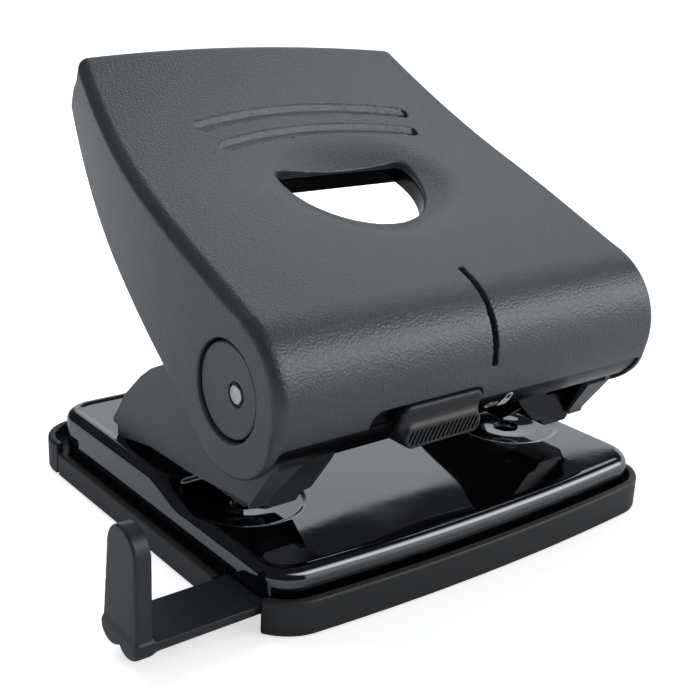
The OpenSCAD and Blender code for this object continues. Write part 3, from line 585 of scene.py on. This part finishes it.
def tray(x, y, z):
    """Chip tray: floor, ledge for the steel base, outer wall, clips for the guide bar."""
    height = SIDE_H + (SKIRT_H - SIDE_H) * smooth((-19 - y) / 10.4)
    plan = outline(x, y, 0, BASE_REAR)
    solid = both(plan, np.maximum(z - height, -z), 0.7)
    solid = less(solid, np.maximum(outline(x, y, SKIRT_T, BASE_REAR + 20), LEDGE_Z - z), 0.45)
    solid = less(solid, np.maximum(outline(x, y, SKIRT_T + 3.8, BASE_REAR), FLOOR_T - z), 0.3)
    wall = block(x, y, z, (-54.5, SPLIT_Y - 2.2, 0), (54.5, SPLIT_Y - TRAY_GAP, LEDGE_Z), 0.3)
    solid = np.minimum(both(solid, y - SPLIT_Y + TRAY_GAP, 0.3), wall)
    side = np.abs(x)
    hinge = np.hypot(y - SPLIT_Y - HINGE_OUT, z - HINGE_Z)
    ear = both(hinge - EAR_R, slab(side, EAR_X0, EAR_X1), 0.3)
    arm = block(side, y, z, (EAR_X0, SPLIT_Y - 1, 1.0), (EAR_X1, SPLIT_Y + 2.4, 4.8), 0.3)
    solid = np.minimum(solid, np.minimum(ear, arm))
    # channel of the paper guide: two posts, two lips and a sill, four times
    low, high, lip = 0.5, 7.5, 6.3
    front, rear = BAR_Y0 - TRAY_GAP, BAR_Y1 + TRAY_GAP
    for cx in CLIP_X:
        for lo, hi in (((front - CLIP_T, low), (front, high)),
                       ((front - CLIP_T, lip), (BAR_Y0 + 1.2, high)),
                       ((rear, low), (rear + CLIP_T, high)),
                       ((BAR_Y1 - 1.2, lip), (rear + CLIP_T, high)),
                       ((front - CLIP_T, low), (rear + CLIP_T, 1.8))):
            solid = np.minimum(solid, block(x, y, z, (cx, *lo), (cx + CLIP_W, *hi), 0.25))
    bore = np.maximum(hinge - EAR_PIN - 0.05, slab(side, EAR_X0 - 1, EAR_X1 + 1))
    solid = less(solid, bore, 0.15)
    gate = np.maximum(x + BASE_W / 2 - 10, slab(y, BAR_Y0 - 0.7, BAR_Y1 + 0.7))
    return less(solid, np.maximum(gate, -1 - z), 0.3)


def rail(x, y, z):
    """Rear rail that holds the steel base and the tray hinge."""
    plan = outline(x, y, 0, BASE_REAR)
    solid = both(plan, np.maximum(z - RAIL_H, -z), 0.7)
    inner = outline(x, y, SKIRT_T, BASE_REAR - SKIRT_T)
    solid = less(solid, np.maximum(inner, LEDGE_Z + 0.2 - z), 0.45)
    solid = both(solid, SPLIT_Y - y, 0.3)
    # bevel that clears the turning tray
    bevel = (y - SPLIT_Y - 2.3) * 0.736 + (z + 1) * 0.677
    solid = less(solid, np.maximum(bevel, z - 1.5))
    side = np.abs(x)
    pocket = block(side, y, z, (EAR_X0 - 0.3, SPLIT_Y - 2, -2), (EAR_X1 + 0.3, SPLIT_Y + 5.8, 9))
    solid = less(solid, pocket, 0.2)
    hinge = np.hypot(y - SPLIT_Y - HINGE_OUT, z - HINGE_Z)
    return less(solid, np.maximum(hinge - EAR_PIN, slab(side, 34, 50)))


def guide(x, y, z):
    """Paper guide: a bar on two runners and an upright with a round top."""
    w = (BAR_Y1 - BAR_Y0) / 4
    above = z - BAR_LOW - LOBE_R
    lobes = np.minimum(np.hypot(y - BAR_Y0 - w, above), np.hypot(y - BAR_Y1 + w, above)) - LOBE_R
    flat = np.maximum(slab(y, BAR_Y0, BAR_Y1), slab(z, BAR_TOP - 1.6, BAR_TOP))
    section = both(np.minimum(lobes, flat), np.maximum(z - BAR_TOP, slab(y, BAR_Y0, BAR_Y1)), 0.5)
    bar = both(section, slab(x, GUIDE_X + 0.4, GUIDE_X + GUIDE_LEN), 0.4)
    head = np.hypot(y - BAR_Y0 - HEAD_R, np.maximum(z - GUIDE_TOP + HEAD_R, 0)) - HEAD_R
    rise, back = BLADE_LEAN
    slant = ((y - BAR_Y1) * rise + (z - 4.5) * back) / math.hypot(rise, back)
    blade = np.where(z > GUIDE_TOP - HEAD_R, head, np.maximum(BAR_Y0 - y, slant))
    blade = np.maximum(blade, BAR_LOW + 2 - z)
    upright = both(np.minimum(blade, section), slab(x, GUIDE_X, GUIDE_X + GUIDE_T), 0.55)
    inner = np.maximum(upright, slab(y, BAR_Y0 + 0.3, BAR_Y1 - 0.3))
    return np.minimum(either(bar, inner, 1.6), upright)


def add(name, field, lo, hi, step, faces, body, slot, material, *nodes, flip=False):
    """A piece cast from a field in a box, dressed."""
    piece = cast(name, field, lo, hi, step, faces, flip)
    return dress(piece, body, slot, material, *nodes)


add("handle_shell", cover, (-56, -33, 14), (56, 76, 104), 0.5, 90000,
    "lever", "handle_plastic", HANDLE, "handle_cover")
for name, flip in (("left", True), ("right", False)):
    add("side_cap_" + name, cap, (50, -25, 34), (56, -2, 57), 0.35, 12000,
        "lever", "handle_plastic", HANDLE, "hinge_cap_" + name, flip=flip)
add("slider", lock, (-25, -33, 29), (0, -20, 44), 0.15, 40000,
    "lock", "handle_plastic", SLIDER, "lock_slider")
add("steel_base", plate, (-56, -36, 3), (56, 65, 18), 0.5, 76000,
    "base", "gloss_black_steel", BLACK, "base_plate")
add("tray", tray, (-59, -39, -1), (59, 64, 9), 0.45, 70000,
    "tray", "tray_plastic", TRAY, "chip_tray")
add("rail", rail, (-59, 56, -1), (59, 72, 9.5), 0.45, 24000,
    "base", "tray_plastic", TRAY, "rear_rail")
add("guide", guide, (-83.5, -30, 1), (19, -14, 30), 0.4, 24000,
    "guide", "guide_plastic", GUIDE, "paper_guide")


# ---------------------------------------------------------------- sheet metal and small parts
def softened(name, node, width, turn=35):
    """A CAD node's solids with their edges broken and smooth shading between them."""
    bm = bmesh.new()
    bm.from_mesh(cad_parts[node].data)
    bmesh.ops.remove_doubles(bm, verts=bm.verts, dist=0.002 * MM)
    bmesh.ops.dissolve_limit(bm, angle_limit=math.radians(0.5), verts=bm.verts, edges=bm.edges)

    def sharp_edges():
        """Edges where two faces meet at more than the turn."""
        limit = math.radians(turn)
        return [e for e in bm.edges if len(e.link_faces) == 2 and e.calc_face_angle(0) > limit]

    bmesh.ops.bevel(bm, geom=sharp_edges(), offset=width * MM, offset_type="OFFSET", segments=2,
                    profile=0.5, affect="EDGES", clamp_overlap=True)
    bmesh.ops.triangulate(bm, faces=bm.faces)
    for f in bm.faces:
        f.smooth = True
    for e in sharp_edges():
        e.smooth = False
    me = bpy.data.meshes.new(name)
    bm.to_mesh(me)
    bm.free()
    o = link(name, me)
    weigh = o.modifiers.new("normals", "WEIGHTED_NORMAL")
    weigh.keep_sharp = True
    return o


PARTS = (
    ("lever_plate", "lever_frame", 0.25, "lever", "black_frame", FRAME),
    ("yoke", "press_yoke", 0.3, "lever", "black_frame", FRAME),
    ("yoke_studs", "yoke_rivets", 0.12, "lever", "bare_steel", STEEL),
    ("head_frame_left", "punch_frame_left", 0.22, "base", "black_frame", FRAME),
    ("head_frame_right", "punch_frame_right", 0.22, "base", "black_frame", FRAME),
    ("side_plate_left", "cheek_left", 0.3, "base", "satin_grey", SATIN),
    ("side_plate_right", "cheek_right", 0.3, "base", "satin_grey", SATIN),
    ("bush_left", "pin_bush_left", 0.2, "base", "bare_steel", STEEL),
    ("bush_right", "pin_bush_right", 0.2, "base", "bare_steel", STEEL),
    ("pin_left", "punch_pin_left", 0.06, "pin_l", "bare_steel", STEEL),
    ("pin_right", "punch_pin_right", 0.06, "pin_r", "bare_steel", STEEL),
    ("washer_left", "pin_washer_left", 0.15, "pin_l", "bare_steel", STEEL),
    ("washer_right", "pin_washer_right", 0.15, "pin_r", "bare_steel", STEEL),
    ("head_studs", "head_rivets", 0.15, "base", "bare_steel", STEEL),
    ("rod", "hinge_rod", 0.4, "base", "bare_steel", STEEL),
    ("clips", "rod_clips", 0.12, "base", "bare_steel", STEEL),
    ("hinge_pins", "tray_hinge_pins", 0.2, "base", "bare_steel", STEEL),
    ("cutter_left", "die_left", 0.2, "base", "bare_steel", STEEL),
    ("cutter_right", "die_right", 0.2, "base", "bare_steel", STEEL),
)
for name, node, width, body, slot, material in PARTS:
    dress(softened(name, node, width), body, slot, material, node)


def coil(name, side):
    """Return spring: a round wire of seven turns at one even pitch, with the wire's two ends capped.
    """
    steps, sides = COIL_TURNS * 36, 12
    points, faces = [], []
    for i in range(steps + 1):
        t = i / steps
        a = 2 * math.pi * COIL_TURNS * t
        z = COIL_Z + WIRE_R + (COIL_H - 2 * WIRE_R) * t
        for k in range(sides):
            b = 2 * math.pi * k / sides
            r = COIL_R + WIRE_R * math.cos(b)
            x, y = side * (PIN_X + r * math.cos(a)), r * math.sin(a)
            points.append((x, y, z + WIRE_R * math.sin(b)))
    for i in range(steps):
        for k in range(sides):
            a, b = i * sides + k, i * sides + (k + 1) % sides
            quad = (a, b, b + sides, a + sides)
            faces.append(quad if side < 0 else quad[::-1])
    me = bpy.data.meshes.new(name)
    last = steps * sides
    caps = [tuple(range(sides)), tuple(range(last + sides - 1, last - 1, -1))]
    if side < 0:
        caps = [c[::-1] for c in caps]
    me.from_pydata([(x * MM, y * MM, z * MM) for x, y, z in points], [], faces + caps)
    me.polygons.foreach_set("use_smooth", [True] * len(me.polygons))
    me.update()
    return link(name, me)


for name, side in (("left", -1), ("right", 1)):
    spring = dress(coil("coil_" + name, side), "base", "bare_steel", STEEL, "spring_" + name)
    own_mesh(spring)


# ---------------------------------------------------------------- print on the front strip
def on_strip(u, v, lift=0.06):
    """A point of the strip under the lip: u across, v along the curve up from its top, in mm."""
    r = ROLL_R - 0.6 + lift
    a = math.radians(206) - v / r
    return (u * MM, (ROLL_Y + r * math.cos(a)) * MM, (ROLL_Z + r * math.sin(a)) * MM)


def printed(name, ribbons, closed):
    """Thin print on the strip: ribbons between two lines of points, closed or open."""
    bm = bmesh.new()
    for one, two in ribbons:
        a = [bm.verts.new(on_strip(*p)) for p in one]
        b = [bm.verts.new(on_strip(*p)) for p in two]
        count = len(a)
        for i in range(count if closed else count - 1):
            j = (i + 1) % count
            bm.faces.new((a[i], a[j], b[j], b[i]))
    me = bpy.data.meshes.new(name)
    bm.to_mesh(me)
    bm.free()
    return dress(link(name, me), "lever", "black_frame", INK)


def ring_pair(centre, outer, inner, a0, a1, steps=16):
    """Outer and inner points of an open ring, from angle a0 to a1 in degrees."""
    angles = [math.radians(a0 + (a1 - a0) * i / steps) for i in range(steps + 1)]
    far = [(centre[0] + outer * math.cos(a), centre[1] + outer * math.sin(a)) for a in angles]
    near = [(centre[0] + inner * math.cos(a), centre[1] + inner * math.sin(a)) for a in angles]
    return far, near


def bars(points, width):
    """A closed outline of that line width, as an outer and an inner ring."""
    far, near = [], []
    count = len(points)
    for i, (x, z) in enumerate(points):
        (x0, z0), (x1, z1) = points[i - 1], points[(i + 1) % count]
        a, b = Vector((x - x0, z - z0)).normalized(), Vector((x1 - x, z1 - z)).normalized()
        n = Vector((a.y + b.y, -a.x - b.x))
        n = n / max(n.length_squared / 2, 0.2)
        far.append((x + n.x * width / 2, z + n.y * width / 2))
        near.append((x - n.x * width / 2, z - n.y * width / 2))
    return far, near


ARROW = [(3.5, -3.9), (4.9, -2.8), (4.9, -3.4), (7.1, -3.4), (7.1, -4.4), (4.9, -4.4), (4.9, -5.0)]
LOCK_X, LOCK_LOW, LOCK_TOP, LOCK_HALF = 9.6, -5.5, -2.9, 1.3
BOW_V, BOW_OUT, BOW_IN = -1.75, 1.0, 0.58
KEYHOLE = ((-0.2, -3.7), (0.2, -3.7), (0.12, -4.7), (-0.12, -4.7))


def leg(u0, u1):
    """One leg of the padlock's bow, between two distances from its middle."""
    low = LOCK_TOP - 0.1
    return ([(LOCK_X + u0, low), (LOCK_X + u1, low)], [(LOCK_X + u0, BOW_V), (LOCK_X + u1, BOW_V)])


printed("print_arrow", [bars(ARROW, 0.26)], True)
ends = [(LOCK_HALF * u, v) for u, v in ((-1, LOCK_TOP), (1, LOCK_TOP), (1, LOCK_LOW), (-1, LOCK_LOW))]
padlock = [[(LOCK_X + u, v) for u, v in ring] for ring in (ends, KEYHOLE)]
printed("print_lock", [padlock], True)
arch = ring_pair((LOCK_X, BOW_V), BOW_OUT, BOW_IN, 0, 180)
printed("print_shackle", [arch, leg(-BOW_OUT, -BOW_IN), leg(BOW_IN, BOW_OUT)], False)

# ---------------------------------------------------------------- camera, matched to the photo
cam_data = bpy.data.cameras.new("camera")
cam_data.sensor_fit = "HORIZONTAL"
cam_data.sensor_width = 36.0
cam_data.lens = 60.59
cam_data.clip_start = 0.01
cam = bpy.data.objects.new("camera", cam_data)
scene.collection.objects.link(cam)
right = Vector((0.78561, -0.61709, 0.04485))
up = Vector((0.16920, 0.28400, 0.94378))
ahead = Vector((0.59514, 0.73385, -0.32753))
turn = Matrix.Identity(4)
for i in range(3):
    turn[i][0], turn[i][1], turn[i][2] = right[i], up[i], -ahead[i]
turn.translation = Vector((-169.266, -192.982, 128.293)) * MM
cam.matrix_world = turn
scene.camera = cam

# ---------------------------------------------------------------- world, floor and lights
AMBIENT, AMBIENT_POWER = (0.92, 0.95, 1.0), 0.24
COVE, COVE_POWER, EDGE_LEAN = (0.9, 0.97, 1.0), 1.1, 0.4
DARK_ROOM, BAND_LIGHT = (0.05, 0.053, 0.06), (4.1, 4.05, 4.0, 1)
world = bpy.data.worlds.new("world")
scene.world = world
world.use_nodes = True
air = world.node_tree
air.nodes.clear()


def background(colour, strength):
    """Background shader of one colour."""
    node = air.nodes.new("ShaderNodeBackground")
    node.inputs["Color"].default_value = (*colour, 1)
    node.inputs["Strength"].default_value = strength
    return node


def ramp(value, low, high):
    """A soft step, 0 at low and 1 at high."""
    node = air.nodes.new("ShaderNodeMapRange")
    node.interpolation_type = "SMOOTHSTEP"
    node.inputs["From Min"].default_value = low
    node.inputs["From Max"].default_value = high
    air.links.new(value, node.inputs["Value"])
    return node.outputs["Result"]


def shaders(factor, one, two):
    """A shader between two others, by factor."""
    node = air.nodes.new("ShaderNodeMixShader")
    for socket, value in zip(node.inputs, (factor, one, two)):
        air.links.new(value, socket)
    return node.outputs[0]


# what gloss shows: a white cove behind the object and a dark room elsewhere;
# the cove's upper edge leans, and is 27 degrees up where the camera looks
toward = air.nodes.new("ShaderNodeTexCoord")
axes = air.nodes.new("ShaderNodeSeparateXYZ")
air.links.new(toward.outputs["Generated"], axes.inputs[0])
edge = calc(air, "MULTIPLY_ADD", axes.outputs["X"], EDGE_LEAN, axes.outputs["Z"])
wall = calc(air, "MULTIPLY", ramp(axes.outputs["X"], 0.12, 0.36), ramp(edge, 0.683, 0.677))
sky = tint(air, wall, DARK_ROOM, COVE)
# and one long soft light in front on the right, level with the X axis
across = air.nodes.new("ShaderNodeVectorMath")
across.operation = "DOT_PRODUCT"
across.inputs[1].default_value = (0, 0.583, 0.813)
air.links.new(toward.outputs["Generated"], across.inputs[0])
strip = ramp(calc(air, "ABSOLUTE", across.outputs["Value"]), 0.4, 0.08)
strip = calc(air, "MULTIPLY", strip, ramp(axes.outputs["Y"], -0.1, -0.4))
strip = calc(air, "MULTIPLY", strip, ramp(edge, 0.5, 0.72))
light = air.nodes.new("ShaderNodeMix")
light.data_type = "RGBA"
light.inputs["B"].default_value = BAND_LIGHT
air.links.new(strip, light.inputs["Factor"])
air.links.new(sky, light.inputs["A"])
cove = background(COVE, COVE_POWER)
air.links.new(light.outputs["Result"], cove.inputs["Color"])
# the camera sees plain white; matt surfaces get an even pale light
path = air.nodes.new("ShaderNodeLightPath").outputs
ambient = background(AMBIENT, AMBIENT_POWER)
white = background((1, 1, 1), 1.0)
lit = shaders(path["Is Glossy Ray"], ambient.outputs[0], cove.outputs[0])
seen = calc(air, "MAXIMUM", path["Is Camera Ray"], path["Is Transmission Ray"])
out = air.nodes.new("ShaderNodeOutputWorld")
air.links.new(shaders(seen, lit, white.outputs[0]), out.inputs["Surface"])

# floor, which glows for the camera, so that it fades into the white behind
FLOOR_HALF, FLOOR_DROP = 4.0, 0.00015
ground = bpy.data.meshes.new("floor")
corners = [(u * FLOOR_HALF, v * FLOOR_HALF, 0) for u, v in ((-1, -1), (1, -1), (1, 1), (-1, 1))]
ground.from_pydata(corners, [], [(0, 1, 2, 3)])
floor = link("floor", ground)
floor.location.z = -FLOOR_DROP
chalk, tree, surface, where = recipe("floor", (0.86, 0.86, 0.87), 0.85)
surface.inputs["Emission Color"].default_value = (1, 1, 1, 1)
far = tree.nodes.new("ShaderNodeVectorMath")
far.operation = "LENGTH"
tree.links.new(where, far.inputs[0])
glow = spread(tree, far.outputs["Value"], 0.64, 1.0, 0.25, 0.6)
camera_ray = tree.nodes.new("ShaderNodeLightPath").outputs["Is Camera Ray"]
tree.links.new(calc(tree, "MULTIPLY", camera_ray, glow), surface.inputs["Emission Strength"])
ground.materials.append(chalk)

AIM, WARM, COOL = Vector((0, 0, 0.04)), (1.0, 0.99, 0.97), (0.93, 0.97, 1.0)


def lamp(name, place, size, power, colour, gloss):
    """Area light aimed at the middle of the object; gloss shows it or not."""
    light = bpy.data.lights.new(name, "AREA")
    light.shape = "RECTANGLE"
    light.size, light.size_y = size
    light.energy = power
    light.color = colour
    o = bpy.data.objects.new(name, light)
    scene.collection.objects.link(o)
    o.location = place
    o.rotation_euler = (AIM - Vector(place)).to_track_quat("-Z", "Y").to_euler()
    o.visible_glossy = gloss


lamp("side", (0.66, -0.7, 0.54), (1.1, 0.5), 5.0, WARM, False)
lamp("rear", (0.62, 0.34, 0.8), (0.8, 0.5), 1.9, COOL, True)
lamp("above", (-0.1, 0.75, 0.8), (0.8, 0.6), 6.0, COOL, False)
lamp("left", (-0.9, 0.1, 0.4), (0.6, 0.6), 0.8, COOL, False)
